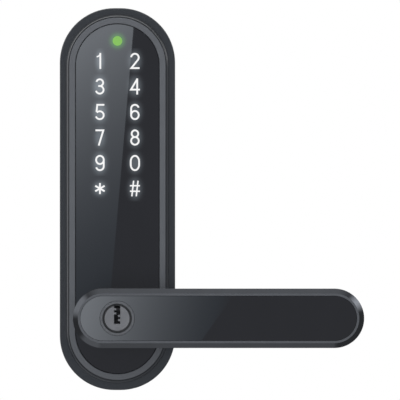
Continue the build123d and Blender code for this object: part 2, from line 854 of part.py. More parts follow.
# Lever hub: the drum behind the bush, with its stop lug, spring peg and rotor chamber
hub_screw_depth = neck_back + hub_socket_depth / 2
with BuildPart() as lever_hub:
    with BuildSketch(front(hub_back)):
        Circle(drum_radius)
    extrude(amount=drum_length)
    with BuildSketch(front(hub_back)):
        Rectangle(lug_width, lug_radius, align=(Align.CENTER, Align.MAX))
    extrude(amount=lug_thickness)
    with BuildSketch(front(lug_front)):
        with Locations(moving_peg_place):
            Circle(spring_peg_radius)
    extrude(amount=spring_back + wire_diameter - lug_front)
    with BuildSketch(front(drum_front)):
        Circle(journal_radius)
    extrude(amount=hub_front - drum_front)
    with BuildSketch(front(hub_back)):
        Circle(chamber_radius)
    extrude(amount=rotor_chamber_depth, mode=Mode.SUBTRACT)
    with BuildSketch(front(hub_back)):
        Circle(tail_hole_radius)
    extrude(amount=hub_front - hub_back, mode=Mode.SUBTRACT)
    with BuildSketch(upright(0, depth=pin_depth)):
        Circle(pin_radius + running_fit)
    extrude(amount=drum_radius, mode=Mode.SUBTRACT)
    with BuildSketch(upright(pin_spring_seat, depth=pin_depth)):
        Circle(pin_head_radius + running_fit)
    extrude(amount=drum_radius, mode=Mode.SUBTRACT)
    with BuildSketch(upright(-journal_radius, depth=hub_screw_depth)):
        Circle(set_screw_radius + running_fit)
    extrude(amount=set_screw_radius / 2, mode=Mode.SUBTRACT)

# Lever neck: joins the hub to the bar and holds the key cylinder's rear end
shell_screw_depth = (shell_back + lever_back) / 2
with BuildPart() as lever_neck:
    with BuildSketch(front(neck_back)):
        Circle(neck_radius)
    extrude(amount=lever_back - neck_back)
    with BuildSketch(front(lever_back)):
        Circle(spigot_radius)
    extrude(amount=spigot_length)
    with BuildSketch(front(neck_back)):
        Circle(journal_radius + press_fit)
    extrude(amount=hub_socket_depth, mode=Mode.SUBTRACT)
    with BuildSketch(front(hub_front)):
        Circle(tail_hole_radius)
    extrude(amount=neck_web, mode=Mode.SUBTRACT)
    with BuildSketch(front(neck_web_front)):
        Circle(shell_radius + press_fit)
    extrude(amount=lever_back + spigot_length - neck_web_front, mode=Mode.SUBTRACT)
    for depth in (hub_screw_depth, shell_screw_depth):
        with BuildSketch(upright(-neck_radius, depth=depth)):
            Circle(set_screw_radius + running_fit)
        extrude(amount=neck_radius - journal_radius / 2, mode=Mode.SUBTRACT)

# Set screws: one pins the neck to the hub, one pins the key cylinder in the neck
with BuildPart() as lever_set_screws:
    for depth, inner in ((hub_screw_depth, journal_radius), (shell_screw_depth, shell_radius)):
        with BuildSketch(upright(-neck_radius + loose_fit, depth=depth)):
            Circle(set_screw_radius)
        extrude(amount=neck_radius - loose_fit - inner + set_screw_radius / 2 - running_fit)
        with BuildSketch(upright(-neck_radius + loose_fit, depth=depth)):
            RegularPolygon(set_screw_radius / 2, 6)
        extrude(amount=set_screw_radius / 2, mode=Mode.SUBTRACT)

# Lever bar: a chamfered pill with a recess for the face and cored cells behind it
with BuildPart() as lever_body:
    with BuildSketch(front(lever_back)):
        lever_pill(0)
    extrude(amount=lever_thickness)
    chamfer(lever_body.faces().sort_by(Axis.Y)[0].edges(), lever_chamfer)
    fillet(lever_body.faces().sort_by(Axis.Y)[-1].edges(), lever_back_radius)
    with BuildSketch(front(inlay_back)):
        lever_pill(lever_chamfer + lever_rim)
    extrude(amount=lever_front - inlay_back, mode=Mode.SUBTRACT)
    cell_pitch = (lever_tip - lever_chamfer - lever_rim - core_rim - core_start + core_rib) / core_cells
    with BuildSketch(front(inlay_back)):
        for cell in range(core_cells):
            with Locations((core_start + cell * cell_pitch, 0)):
                Rectangle(cell_pitch - core_rib, lever_height, align=(Align.MIN, Align.CENTER))
        lever_pill(lever_chamfer + lever_rim + core_rim, mode=Mode.INTERSECT)
    extrude(amount=-core_depth, mode=Mode.SUBTRACT)
    with BuildSketch(front(lever_back)):
        Circle(spigot_radius + press_fit)
    extrude(amount=spigot_length, mode=Mode.SUBTRACT)
    with BuildSketch(front(lever_back)):
        Circle(shell_radius + press_fit)
    extrude(amount=lever_thickness, mode=Mode.SUBTRACT)

# Lever face: the glossy inlay
with BuildPart() as lever_face:
    with BuildSketch(front(inlay_back)):
        lever_pill(lever_chamfer + lever_rim + inlay_gap)
        Circle(shell_radius + inlay_gap, mode=Mode.SUBTRACT)
    extrude(amount=inlay_thickness)
    chamfer(lever_face.faces().sort_by(Axis.Y)[0].edges(), inlay_gap)

# Key cylinder shell, fixed in the lever
with BuildPart() as cylinder_shell:
    with BuildSketch(front(shell_back)):
        Circle(shell_radius)
        Circle(plug_radius + running_fit, mode=Mode.SUBTRACT)
    extrude(amount=lever_front - shell_back)
    with BuildSketch(front(recess_floor)):
        Circle(plug_radius + recess_width)
    extrude(amount=recess_depth, mode=Mode.SUBTRACT)
    with BuildSketch(upright(-shell_radius, depth=shell_screw_depth)):
        Circle(set_screw_radius + running_fit)
    extrude(amount=set_screw_radius / 2, mode=Mode.SUBTRACT)

# Key plug: turns in the shell, with a warded keyway and slots for the wafers
wafer_depths = [lever_front - first_wafer_depth - count * wafer_pitch for count in range(wafer_count)]
with BuildPart() as key_plug:
    with BuildSketch(front(plug_back)):
        Circle(plug_radius)
    extrude(amount=lever_front - plug_back)
    with BuildSketch(front(recess_floor + thrust_play)):
        Circle(plug_radius + plug_flange_width)
    extrude(amount=plug_flange_thickness)
    with BuildSketch(front(lever_front)):
        with Locations((0, -keyway_bottom)):
            Rectangle(2 * keyway_half_width, 2 * plug_radius, align=(Align.CENTER, Align.MIN))
        for side, heights in ((-1, left_ward_heights), (1, right_ward_heights)):
            with Locations(*[(side * (keyway_half_width - ward_width / 2), z) for z in heights]):
                Rectangle(ward_width, ward_thickness, mode=Mode.SUBTRACT)
    extrude(amount=-keyway_depth, mode=Mode.SUBTRACT)
    for depth in wafer_depths:
        with BuildSketch(front(depth + running_fit)):
            Rectangle(wafer_width + 2 * running_fit, 4 * plug_radius)
        extrude(amount=-wafer_thickness - 2 * running_fit, mode=Mode.SUBTRACT)
    with BuildSketch(front(clip_back - press_fit)):
        Circle(2 * plug_radius)
        Circle(plug_radius - clip_groove_depth, mode=Mode.SUBTRACT)
    extrude(amount=clip_thickness + 2 * press_fit, mode=Mode.SUBTRACT)
    with BuildSketch(front(plug_back)):
        Rectangle(tail_thickness + 2 * press_fit, tail_width + 2 * press_fit)
    extrude(amount=tail_engagement, mode=Mode.SUBTRACT)

# Key wafers: windowed plates that ride in the plug's slots
with BuildPart() as key_wafers:
    window_height = wafer_window_top + wafer_window_bottom
    for depth in wafer_depths:
        with BuildSketch(front(depth)):
            Rectangle(wafer_width, wafer_height)
            with Locations((0, -wafer_window_bottom)):
                Rectangle(
                    2 * (keyway_half_width + running_fit),
                    window_height,
                    align=(Align.CENTER, Align.MIN),
                    mode=Mode.SUBTRACT,
                )
        extrude(amount=-wafer_thickness)

# Plug clip: a C ring that keeps the plug from coming out of the shell
with BuildPart() as plug_clip:
    with BuildSketch(front(clip_back)):
        Circle(clip_outer_radius)
        Circle(plug_radius - clip_groove_depth + press_fit, mode=Mode.SUBTRACT)
        Rectangle(clip_opening, 2 * clip_outer_radius, align=(Align.CENTER, Align.MAX), mode=Mode.SUBTRACT)
    extrude(amount=clip_thickness)

# Tailpiece: the flat bar that carries the key's turn back to the rotor
with BuildPart() as tailpiece:
    with BuildSketch(front(tail_back)):
        Rectangle(tail_thickness, tail_width)
    extrude(amount=plug_back + tail_engagement - tail_back)

# Spindle rotor: drives the spindle, and gives the tailpiece a quarter turn of free play
spindle_pin_place = rotor_back + spindle_pin_depth
with BuildPart() as spindle_rotor:
    with BuildSketch(front(rotor_back)):
        Circle(rotor_radius)
    extrude(amount=rotor_front - rotor_back)
    with BuildSketch(front(rotor_back)):
        Rectangle(spindle_size + 2 * press_fit, spindle_size + 2 * press_fit)
    extrude(amount=spindle_socket_depth, mode=Mode.SUBTRACT)
    with BuildSketch(front(rotor_front)):
        Circle(tail_width / 2 + 2 * loose_fit)
        free_half = tail_thickness / 2 + loose_fit
        with Locations((-free_half, free_half)):
            Rectangle(tail_width, tail_width, align=(Align.MAX, Align.MIN), mode=Mode.SUBTRACT)
        with Locations((free_half, -free_half)):
            Rectangle(tail_width, tail_width, align=(Align.MIN, Align.MAX), mode=Mode.SUBTRACT)
    extrude(amount=-tail_engagement - rotor_play, mode=Mode.SUBTRACT)
    with BuildSketch(upright(pin_inner_end - rotor_play, depth=pin_depth)):
        Circle(pin_radius + running_fit)
    extrude(amount=rotor_radius, mode=Mode.SUBTRACT)
    with BuildSketch(Plane(origin=(0, -spindle_pin_place, 0), z_dir=(1, 0, 0))):
        Circle(spindle_pin_radius)
    extrude(amount=rotor_radius, both=True, mode=Mode.SUBTRACT)

# Spindle: the square bar that turns the latch
with BuildPart() as spindle:
    with BuildSketch(front(-spindle_reach)):
        Rectangle(spindle_size, spindle_size)
    extrude(amount=spindle_reach + rotor_back + spindle_socket_depth - running_fit)
    chamfer(spindle.faces().sort_by(Axis.Y)[-1].edges(), spindle_chamfer)
    with BuildSketch(Plane(origin=(0, -spindle_pin_place, 0), z_dir=(1, 0, 0))):
        Circle(spindle_pin_radius)
    extrude(amount=spindle_size, both=True, mode=Mode.SUBTRACT)

# Spindle pin: the cross pin that keeps the spindle in the rotor
with BuildPart() as spindle_pin:
    with BuildSketch(Plane(origin=(0, -spindle_pin_place, 0), z_dir=(1, 0, 0))):
        Circle(spindle_pin_radius - press_fit)
    extrude(amount=rotor_radius - loose_fit, both=True)

# Clutch pin: couples the hub to the rotor while it is pushed in
with BuildPart() as clutch_pin:
    with BuildSketch(upright(pin_inner_end, depth=pin_depth)):
        Circle(pin_radius)
    extrude(amount=pin_outer_end - pin_inner_end)
    with BuildSketch(upright(pin_head_bottom, depth=pin_depth)):
        Circle(pin_head_radius)
    extrude(amount=pin_head_thickness)
    with Locations((0, -pin_depth, pin_outer_end - pin_dome_radius)):
        Sphere(pin_dome_radius, mode=Mode.INTERSECT)

# Springs: the lever's return spring and the clutch pin's spring
with BuildPart() as return_spring:
    lever_coil = coil_path(
        front(spring_back), spring_radius, spring_pitch, spring_turns, spring_start_angle, spring_leg
    )
    with BuildSketch(Plane(origin=lever_coil.line @ 0, z_dir=lever_coil.line % 0)):
        Circle(wire_diameter / 2)
    sweep(path=lever_coil.line)

with BuildPart() as clutch_pin_spring:
    pin_coil_plane = upright(pin_spring_seat + running_fit + pin_spring_wire / 2, depth=pin_depth)
    pin_coil = coil_path(pin_coil_plane, pin_spring_radius, pin_spring_pitch, pin_spring_turns, 0)
    with BuildSketch(Plane(origin=pin_coil.line @ 0, z_dir=pin_coil.line % 0)):
        Circle(pin_spring_wire / 2)
    sweep(path=pin_coil.line)

# Clutch fork: its shoe pushes the pin at any lever angle, and its nut rides on the screw
with BuildPart() as clutch_fork:
    with BuildSketch(front(fork_back)):
        Circle(fork_outer_radius)
        with BuildLine():
            Polyline(
                (0, 0),
                orbit(2 * fork_outer_radius, 90 - fork_half_angle),
                (0, 2 * fork_outer_radius),
                orbit(2 * fork_outer_radius, 90 + fork_half_angle),
                close=True,
            )
        make_face(mode=Mode.INTERSECT)
        Rectangle(fork_stem_width, nut_bottom, align=(Align.CENTER, Align.MIN))
        Circle(fork_inner_radius, mode=Mode.SUBTRACT)
    extrude(amount=fork_thickness)
    with BuildSketch(front(fork_back)):
        with Locations((0, nut_bottom)):
            Rectangle(nut_width, nut_height, align=(Align.CENTER, Align.MIN))
    extrude(amount=motor_axis_depth + nut_cover - fork_back)
    with BuildSketch(upright(0, depth=motor_axis_depth)):
        Circle(clutch_screw_radius + running_fit)
    extrude(amount=nut_top, mode=Mode.SUBTRACT)

# Clutch screw, gearbox and motor, in line above the fork
with BuildPart() as clutch_screw:
    with BuildSketch(upright(nut_bottom, depth=motor_axis_depth)):
        Circle(clutch_screw_radius)
    extrude(amount=gearbox_bottom - nut_bottom - thrust_play)
    chamfer(clutch_screw.faces().sort_by(Axis.Z)[0].edges(), clutch_screw_radius / 4)

with BuildPart() as clutch_gearbox:
    with BuildSketch(upright(gearbox_bottom, depth=motor_axis_depth)):
        Rectangle(motor_width, motor_depth)
    extrude(amount=gearbox_length)
    with BuildSketch(upright(gearbox_bottom + gearbox_length / 4, depth=motor_axis_depth)):
        Rectangle(2 * motor_width, 2 * motor_depth)
        Rectangle(motor_width * 3 / 4, motor_depth * 3 / 4, mode=Mode.SUBTRACT)
    extrude(amount=gearbox_length / 2, mode=Mode.SUBTRACT)

with BuildPart() as clutch_motor:
    with BuildSketch(upright(motor_bottom, depth=motor_axis_depth)):
        Circle(motor_width / 2)
        Rectangle(motor_width, motor_depth, mode=Mode.INTERSECT)
    extrude(amount=motor_length - motor_terminal)
    with BuildSketch(upright(motor_top - motor_terminal, depth=motor_axis_depth)):
        with GridLocations(motor_width / 2, 1, 2, 1):
            Rectangle(motor_terminal, motor_terminal / 3)
    extrude(amount=motor_terminal)

# Clutch cradle: holds the motor, guides the fork's nut and screws to the housing
cradle_half_width = motor_width / 2 + running_fit + cradle_wall + cradle_ear
with BuildPart() as clutch_cradle:
    with BuildSketch(front(cradle_back)):
        with Locations((0, cradle_bottom)):
            Rectangle(2 * cradle_half_width, motor_top - cradle_bottom, align=(Align.CENTER, Align.MIN))
        with Locations(*cradle_screw_places):
            Circle(cradle_screw_radius + running_fit, mode=Mode.SUBTRACT)
    extrude(amount=cradle_thickness)
    with BuildSketch(front(cradle_back)):
        with Locations((0, gearbox_bottom)):
            Rectangle(
                motor_width + 2 * (running_fit + cradle_wall),
                motor_top - gearbox_bottom,
                align=(Align.CENTER, Align.MIN),
            )
            Rectangle(
                motor_width + 2 * running_fit,
                motor_top - gearbox_bottom,
                align=(Align.CENTER, Align.MIN),
                mode=Mode.SUBTRACT,
            )
    extrude(amount=-motor_depth * 3 / 4)
    with BuildSketch(front(cradle_back)):
        with Locations((0, nut_bottom)):
            Rectangle(
                nut_width + 2 * (loose_fit + cradle_wall),
                gearbox_bottom - nut_bottom,
                align=(Align.CENTER, Align.MIN),
            )
            Rectangle(
                nut_width + 2 * loose_fit,
                gearbox_bottom - nut_bottom - cradle_wall,
                align=(Align.CENTER, Align.MIN),
                mode=Mode.SUBTRACT,
            )
    extrude(amount=-(cradle_back - fork_front - loose_fit))
    with BuildSketch(upright(nut_bottom, depth=motor_axis_depth)):
        Circle(clutch_screw_radius + loose_fit)
    extrude(amount=gearbox_bottom - nut_bottom, mode=Mode.SUBTRACT)

with BuildPart() as cradle_screws:
    with BuildSketch(front(cradle_back)):
        with Locations(*cradle_screw_places):
            Circle(cradle_screw_head_radius)
    extrude(amount=-cradle_screw_head)
    with BuildSketch(front(cradle_back - cradle_screw_head)):
        with Locations(*cradle_screw_places):
            RegularPolygon(cradle_screw_radius * screw_recess, 6)
    extrude(amount=cradle_screw_head / 2, mode=Mode.SUBTRACT)
    with BuildSketch(front(cradle_back)):
        with Locations(*cradle_screw_places):
            Circle(cradle_screw_radius)
    extrude(amount=cradle_thickness + cradle_screw_grip)

pieces = {
    "door_gasket": door_gasket,
    "back_plate": back_plate,
    "back_plate_screws": back_plate_screws,
    "mounting_posts": mounting_posts,
    "cable_grommet": cable_grommet,
    "housing": housing,
    "trim_frame": trim_frame,
    "glass_seal": glass_seal,
    "touch_glass": touch_glass,
    "keypad_legends": keypad_legends,
    "status_lens": status_lens,
    "light_guide": light_guide,
    "keypad_board": keypad_board,
    "keypad_lights": keypad_lights,
    "controller_chips": controller_chips,
    "buzzer": buzzer,
    "harness_socket": harness_socket,
    "harness_pins": harness_pins,
    "board_screws": board_screws,
    "lever_bush": lever_bush,
    "lever_rose": lever_rose,
    "lever_hub": lever_hub,
    "lever_neck": lever_neck,
    "lever_set_screws": lever_set_screws,
    "lever_body": lever_body,
    "lever_face": lever_face,
    "cylinder_shell": cylinder_shell,
    "key_plug": key_plug,
    "key_wafers": key_wafers,
    "plug_clip": plug_clip,
    "tailpiece": tailpiece,
    "spindle_rotor": spindle_rotor,
    "spindle": spindle,
    "spindle_pin": spindle_pin,
    "clutch_pin": clutch_pin,
    "clutch_pin_spring": clutch_pin_spring,
    "return_spring": return_spring,
    "clutch_fork": clutch_fork,
    "clutch_screw": clutch_screw,
    "clutch_gearbox": clutch_gearbox,
    "clutch_motor": clutch_motor,
    "clutch_cradle": clutch_cradle,
    "cradle_screws": cradle_screws,
}

os.makedirs("parts", exist_ok=True)
for name, piece in pieces.items():
    piece.part.label = name
    export_step(piece.part, f"parts/{name}.step")
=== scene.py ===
import json
from math import cos, pi, radians, sin

import bpy
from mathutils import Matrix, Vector

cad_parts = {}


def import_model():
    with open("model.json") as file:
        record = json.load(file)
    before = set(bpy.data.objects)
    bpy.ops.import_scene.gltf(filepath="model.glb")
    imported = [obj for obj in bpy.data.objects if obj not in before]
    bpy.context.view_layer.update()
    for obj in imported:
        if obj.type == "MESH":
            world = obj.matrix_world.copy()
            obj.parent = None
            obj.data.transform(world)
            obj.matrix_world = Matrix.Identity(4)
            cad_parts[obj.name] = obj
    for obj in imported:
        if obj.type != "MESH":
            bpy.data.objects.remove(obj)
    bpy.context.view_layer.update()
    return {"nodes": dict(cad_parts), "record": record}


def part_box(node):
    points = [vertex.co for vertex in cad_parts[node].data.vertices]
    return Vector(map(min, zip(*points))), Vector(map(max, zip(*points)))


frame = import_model()
scene = bpy.context.scene
scene.view_settings.view_transform = "Standard"

# The photograph: 400 pixels wide, each 0.548 mm on the lock, taken straight on from far away
PIXEL = 0.000548
IMAGE_PIXELS = 400
VIEW_CENTRE = Vector((0.0453, 0.0, 0.0647))
CAMERA_DISTANCE = 10.0
TRUE_SCALE_DEPTH = 0.035
SENSOR_MM = 36.0

# Keypad, status lens and key cylinder, as the part lays them out, in metres
KEY_COLUMN = 0.0096
KEY_PITCH = 0.014
KEY_LOWEST = 0.071
KEY_ROWS = 6
STATUS_LOW, STATUS_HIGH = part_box("status_lens")
STATUS_HEIGHT = (STATUS_HIGH.z + STATUS_LOW.z) / 2
STATUS_RADIUS = (STATUS_HIGH.z - STATUS_LOW.z) / 2
CYLINDER_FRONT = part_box("cylinder_shell")[0].y

# Most of a noise lies between these two values
NOISE_LOW, NOISE_HIGH = 0.3, 0.7
UNSTRETCHED = (1.0, 1.0, 1.0)

# Studio, in metres
FRONT_CARD_DISTANCE = 1.1
GLASS_CARD_DISTANCE = 1.09
LEVER_CARD_DISTANCE = 1.08
RING_RADIUS = 0.57
RING_MIDDLE = 0.055
FLOOR_HEIGHT = -0.6
SQUARE = ((-1, -1), (1, -1), (1, 1), (-1, 1))
WHITE = (1.0, 1.0, 1.0)
SOFTBOX_TINT = (0.945, 1.0, 1.076)
COOL_TINT = (0.0, 0.6, 1.0)


class Graph:
    """A node tree, with short calls for the nodes that the materials share."""

    def __init__(self, tree):
        self.tree = tree
        tree.nodes.clear()

    def node(self, kind, inputs, **settings):
        """A new node, with its inputs linked or set by name or number."""
        made = self.tree.nodes.new(kind)
        for name, value in settings.items():
            setattr(made, name, value)
        for name, value in inputs.items():
            if isinstance(value, bpy.types.NodeSocket):
                self.tree.links.new(value, made.inputs[name])
            else:
                made.inputs[name].default_value = value
        return made

    def outputs(self, kind, inputs, **settings):
        return self.node(kind, inputs, **settings).outputs

    def math(self, operation, *values):
        return self.outputs("ShaderNodeMath", dict(enumerate(values)), operation=operation)[0]

    def hypot(self, a, b):
        """Length of a vector with two parts."""
        squares = [self.math("MULTIPLY", part, part) for part in (a, b)]
        return self.math("SQRT", self.math("ADD", *squares))

    def near(self, value, middle, half):
        """1 within half of the middle, and 0 elsewhere."""
        away = self.math("ABSOLUTE", self.math("SUBTRACT", value, middle))
        return self.math("LESS_THAN", away, half)

    def lean(self, across, along, slope):
        """A coordinate that is measured from a leaning line."""
        return self.math("SUBTRACT", across, self.math("MULTIPLY", along, slope))

    def falloff(self, distance, power):
        """1 at no distance, fading by a power of the distance."""
        return self.math("EXPONENT", self.math("MULTIPLY", self.math("POWER", distance, power), -1.0))

    def map_range(self, value, start, end, low=0.0, high=1.0, **settings):
        """Goes from low at start to high at end, and stays there beyond them."""
        inputs = {"Value": value, "From Min": start, "From Max": end, "To Min": low, "To Max": high}
        return self.outputs("ShaderNodeMapRange", inputs, **settings)[0]

    def place(self):
        """Coordinates on the object, in metres."""
        return self.outputs("ShaderNodeTexCoord", {})["Object"]

    def split(self, vector):
        """A vector's x, y and z."""
        return self.outputs("ShaderNodeSeparateXYZ", {"Vector": vector})

    def noise(self, size, detail=3.0, stretch=UNSTRETCHED):
        """Noise whose grains are about a size across, longer along an axis that is stretched."""
        scale = [1.0 / (size * along) for along in stretch]
        mapped = self.outputs("ShaderNodeMapping", {"Vector": self.place(), "Scale": scale})[0]
        inputs = {"Vector": mapped, "Scale": 1.0, "Detail": detail}
        return self.outputs("ShaderNodeTexNoise", inputs)["Fac"]

    def around(self, noise, middle, spread):
        """A number that varies about its middle with a noise."""
        return self.map_range(noise, NOISE_LOW, NOISE_HIGH, middle - spread, middle + spread)

    def tint(self, noise, dark, light):
        """A colour that varies between two with a noise."""
        made = self.node("ShaderNodeValToRGB", {"Fac": noise})
        stops = made.color_ramp.elements
        stops[0].position, stops[1].position = NOISE_LOW, NOISE_HIGH
        stops[0].color, stops[1].color = (*dark, 1.0), (*light, 1.0)
        return made.outputs["Color"]

    def mottle(self, noise, color, spread):
        """A colour that is a little darker and a little lighter with a noise."""
        return self.tint(noise, shade(color, 1 - spread), shade(color, 1 + spread))

    def bump(self, height, depth):
        """Surface relief of a real depth in metres."""
        return self.outputs("ShaderNodeBump", {"Height": height, "Distance": depth})["Normal"]

    def emission(self, strength, tint):
        return self.outputs("ShaderNodeEmission", {"Color": (*tint, 1.0), "Strength": strength})[0]

    def add(self, *shaders):
        """Several shaders as one."""
        total = shaders[0]
        for shader in shaders[1:]:
            total = self.outputs("ShaderNodeAddShader", {0: total, 1: shader})[0]
        return total

    def end(self, shader, kind="ShaderNodeOutputMaterial"):
        """Ends the tree with a shader."""
        self.node(kind, {"Surface": shader})

    def surface(self, **inputs):
        """Ends the tree with the main shader, from its named inputs."""
        named = {name.replace("_", " "): value for name, value in inputs.items()}
        self.end(self.outputs("ShaderNodeBsdfPrincipled", named)[0])


def shade(color, factor):
    return tuple(channel * factor for channel in color)


def new_graph(name):
    material = bpy.data.materials.new(name)
    material.use_nodes = True
    return material, Graph(material.node_tree)


def powder_coat(name, color, roughness, specular, grain=0.0004, cloud=0.024, relief=0.00001):
    """Baked paint on metal: a fine orange-peel skin with faint cloudiness."""
    material, graph = new_graph(name)
    skin = graph.noise(grain)
    graph.surface(
        Base_Color=graph.mottle(graph.noise(cloud), color, spread=0.05),
        Roughness=graph.around(skin, roughness, spread=0.05),
        Specular_IOR_Level=specular,
        Normal=graph.bump(skin, relief),
    )
    return material


def metal(name, color, roughness, grain=0.0003, cloud=0.012, stretch=UNSTRETCHED):
    """Bare or plated metal with fine marks along the direction that it was worked in."""
    relief = 0.000004
    material, graph = new_graph(name)
    marks = graph.noise(grain, stretch=stretch)
    graph.surface(
        Base_Color=graph.mottle(graph.noise(cloud), color, spread=0.07),
        Metallic=1.0,
        Roughness=graph.around(marks, roughness, spread=0.06),
        Normal=graph.bump(marks, relief),
    )
    return material


def satin_metal(name, color, flat, edge, stretch=UNSTRETCHED):
    """Blasted metal with shinier edges. Flat and edge are each a roughness and a share of bare metal."""
    grain, cloud, relief = 0.0003, 0.012, 0.000003
    facing_edge, facing_flat = 0.80, 0.95
    material, graph = new_graph(name)
    marks = graph.noise(grain, stretch=stretch)
    normal = graph.outputs("ShaderNodeNewGeometry", {})["Normal"]
    facing = graph.math("ABSOLUTE", graph.split(normal)["Y"])
    roughness, bare = (
        graph.map_range(facing, facing_edge, facing_flat, on_edge, on_flat)
        for on_edge, on_flat in zip(edge, flat)
    )
    graph.surface(
        Base_Color=graph.mottle(graph.noise(cloud), color, spread=0.04),
        Metallic=bare,
        Specular_IOR_Level=0.1,
        Roughness=graph.math("ADD", roughness, graph.around(marks, 0.0, spread=0.03)),
        Normal=graph.bump(marks, relief),
    )
    return material


def turned_metal(name, color, roughness, metallic):
    """Metal turned about the lever's axis: fine rings, with painted shade in the recess behind its face,
    and none on the face or deep inside.
    """
    groove, cloud, relief = 0.00016, 0.0048, 0.000004
    face_depth, shade_start, shade_end, inside_depth = 0.0002, 0.0012, 0.006, 0.012
    recess_shade = 0.4
    material, graph = new_graph(name)
    x, y, z = graph.split(graph.place())
    # Painted shade: bare is the share of the colour that is kept, 0.4 from just behind the face to 6 mm in,
    # and all of it on the face and from 12 mm in
    depth = graph.math("SUBTRACT", y, CYLINDER_FRONT)
    on_face = graph.map_range(depth, shade_start, face_depth)
    inside = graph.map_range(depth, shade_end, inside_depth)
    bare = graph.math("MAXIMUM", graph.math("MAXIMUM", on_face, inside), recess_shade)
    rings = {"W": graph.hypot(x, z), "Scale": 1.0 / groove}
    marks = graph.outputs("ShaderNodeTexNoise", rings, noise_dimensions="1D")["Fac"]
    even = graph.mottle(graph.noise(cloud), color, spread=0.06)
    graph.surface(
        Base_Color=graph.outputs("ShaderNodeVectorMath", {0: even, "Scale": bare}, operation="SCALE")[0],
        Metallic=metallic,
        Roughness=graph.around(marks, roughness, spread=0.06),
        Normal=graph.bump(marks, relief),
    )
    return material


def moulded(name, color, roughness, specular=0.4):
    """Moulded plastic or rubber with a fine spark-eroded texture."""
    grain, cloud, relief = 0.0006, 0.015, 0.00002
    material, graph = new_graph(name)
    skin = graph.noise(grain, detail=4.0)
    graph.surface(
        Base_Color=graph.mottle(graph.noise(cloud), color, spread=0.1),
        Roughness=graph.around(skin, roughness, spread=0.07),
        Specular_IOR_Level=specular,
        Normal=graph.bump(skin, relief),
    )
    return material


def polished(graph, color, roughness, smudge):
    """Colour and roughness of a polished face, which the faintest smudges dull by a share."""
    dulling = 0.3
    smear = graph.noise(smudge, detail=5.0, stretch=(1.0, 1.0, 1.8))
    return {
        "Base_Color": graph.mottle(smear, color, spread=0.04),
        "Roughness": graph.around(smear, roughness * (1 + dulling), spread=roughness * dulling),
    }


def gloss(name, color, roughness, smudge):
    """A plain polished face."""
    material, graph = new_graph(name)
    graph.surface(**polished(graph, color, roughness, smudge))
    return material


def key_glow(graph, x, z):
    """Light round each key: an oval that follows the figure on the key."""
    half_width, half_height, brightness, power = 0.00355, 0.0055, 1.0, 3.0
    # Keys of the left column that differ: row from the lowest, and what is added to the value
    narrow_keys = [(5, -0.00125), (2, -0.00065)]
    low_keys = [(0, -0.0017)]
    bright_keys = [(5, 0.25), (4, 0.5), (3, 0.5), (1, 0.5), (0, 0.25)]
    on_left = graph.math("LESS_THAN", x, 0.0)

    def by_key(value, keys):
        """A value, with what is added to it at some keys."""
        for row, added in keys:
            in_row = graph.near(z, KEY_LOWEST + KEY_PITCH * row, KEY_PITCH / 2)
            value = graph.math("MULTIPLY_ADD", graph.math("MULTIPLY", in_row, on_left), added, value)
        return value

    from_column = graph.math("SUBTRACT", graph.math("ABSOLUTE", x), KEY_COLUMN)
    from_row = graph.math("WRAP", graph.math("SUBTRACT", z, KEY_LOWEST), KEY_PITCH / 2, -KEY_PITCH / 2)
    across = graph.math("DIVIDE", from_column, by_key(half_width, narrow_keys))
    along = graph.math("DIVIDE", from_row, by_key(half_height, low_keys))
    middle_row = KEY_LOWEST + KEY_PITCH * (KEY_ROWS - 1) / 2
    on_pad = graph.near(z, middle_row, KEY_PITCH * KEY_ROWS / 2)
    light = graph.math("MULTIPLY", on_pad, by_key(brightness, bright_keys))
    return graph.math("MULTIPLY", graph.falloff(graph.hypot(across, along), power), light)


def status_glow(graph, x, z):
    """Light round the status lens."""
    reach, power = 0.0017, 2.0
    from_middle = graph.hypot(x, graph.math("SUBTRACT", z, STATUS_HEIGHT))
    from_lens = graph.math("MAXIMUM", graph.math("SUBTRACT", from_middle, STATUS_RADIUS), 0.0)
    return graph.falloff(graph.math("DIVIDE", from_lens, reach), power)


def lit_glass(name, color, roughness, smudge):
    """Black-backed glass, with light from the keypad and the status lens spread in it."""
    key_color = (0.082, 0.095, 0.106)
    status_color = (0.022, 0.125, 0.006)
    material, graph = new_graph(name)
    x, _, z = graph.split(graph.place())
    keys = key_glow(graph, x, z)
    status = status_glow(graph, x, z)
    channels = [
        graph.math("MULTIPLY_ADD", keys, of_keys, graph.math("MULTIPLY", status, of_status))
        for of_keys, of_status in zip(key_color, status_color)
    ]
    graph.surface(
        **polished(graph, color, roughness, smudge),
        Emission_Color=graph.outputs("ShaderNodeCombineColor", dict(enumerate(channels)))[0],
        Emission_Strength=1.0,
    )
    return material


def lamp_window(name, color, light, strength, dimmest):
    """A window lit from behind, a little unevenly."""
    cloud, darkest = 0.0015, 0.9
    material, graph = new_graph(name)
    unevenness = graph.noise(cloud)
    graph.surface(
        Base_Color=graph.tint(unevenness, shade(color, darkest), color),
        Roughness=0.35,
        Emission_Color=graph.tint(unevenness, shade(light, dimmest), light),
        Emission_Strength=strength,
    )
    return material


def clear_plastic(name, color, roughness):
    """Clear plastic with faint cloudiness."""
    cloud, darkest = 0.004, 0.95
    material, graph = new_graph(name)
    unevenness = graph.noise(cloud)
    graph.surface(
        Base_Color=graph.tint(unevenness, shade(color, darkest), color),
        Roughness=graph.around(unevenness, roughness, spread=0.04),
        Transmission_Weight=0.6,
        IOR=1.49,
    )
    return material


def circuit_board(name, color, roughness):
    """Solder mask over copper traces that run up and across."""
    trace_width, trace_stretch, trace_height, trace_shade = 0.0008, 30.0, 0.00003, 1.7
    material, graph = new_graph(name)
    runs = [
        graph.noise(trace_width, detail=0.0, stretch=stretch)
        for stretch in ((1.0, 1.0, trace_stretch), (trace_stretch, 1.0, 1.0))
    ]
    traces = graph.math("MAXIMUM", *runs)
    graph.surface(
        Base_Color=graph.tint(traces, color, shade(color, trace_shade)),
        Roughness=roughness,
        Normal=graph.bump(traces, trace_height),
    )
    return material


